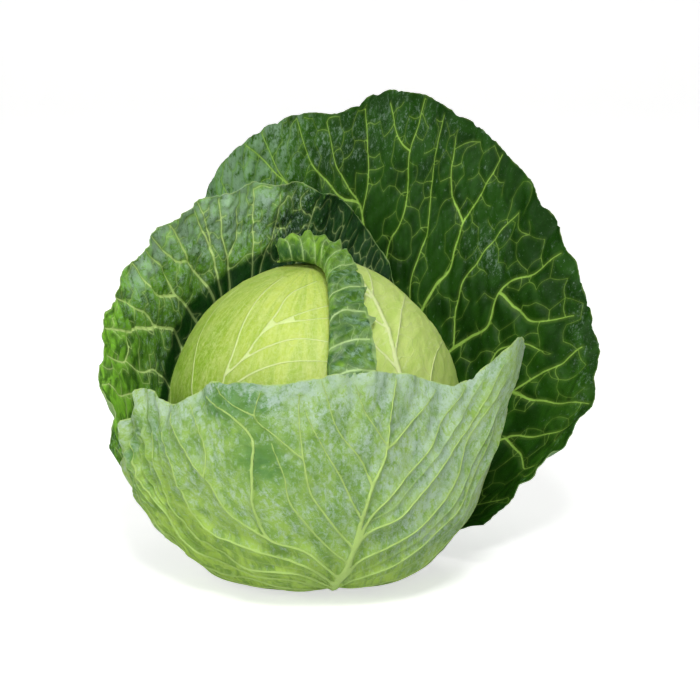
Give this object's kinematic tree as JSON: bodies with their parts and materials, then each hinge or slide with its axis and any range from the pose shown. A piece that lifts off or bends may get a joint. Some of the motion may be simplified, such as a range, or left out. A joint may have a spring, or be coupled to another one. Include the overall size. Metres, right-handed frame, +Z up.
{
  "type": "cabbage head",
  "caption": "Head of green cabbage on its cut stem: a firm pale heart, a wrapper leaf with a turned-back edge, and open waved outer leaves that cup it.",
  "frame": {"origin": "centre of the stem's flat cut face, which the head rests on", "axes": "+Z up through the head; -Y towards the front, where the broad front leaf cups the heart; +X towards the pointed tip of the front leaf"},
  "size_m": [0.301, 0.2254, 0.274],
  "materials": {
    "stem": null,
    "heart": null,
    "wrapper_leaf": null,
    "left_leaf": null,
    "front_leaf": null,
    "back_leaf": null
  },
  "bodies": {
    "root": {"stem": "stem", "heart": "heart", "wrapper_leaf": "wrapper_leaf", "left_leaf": "left_leaf", "front_leaf": "front_leaf", "back_leaf": "back_leaf"}
  },
  "joints": []
}
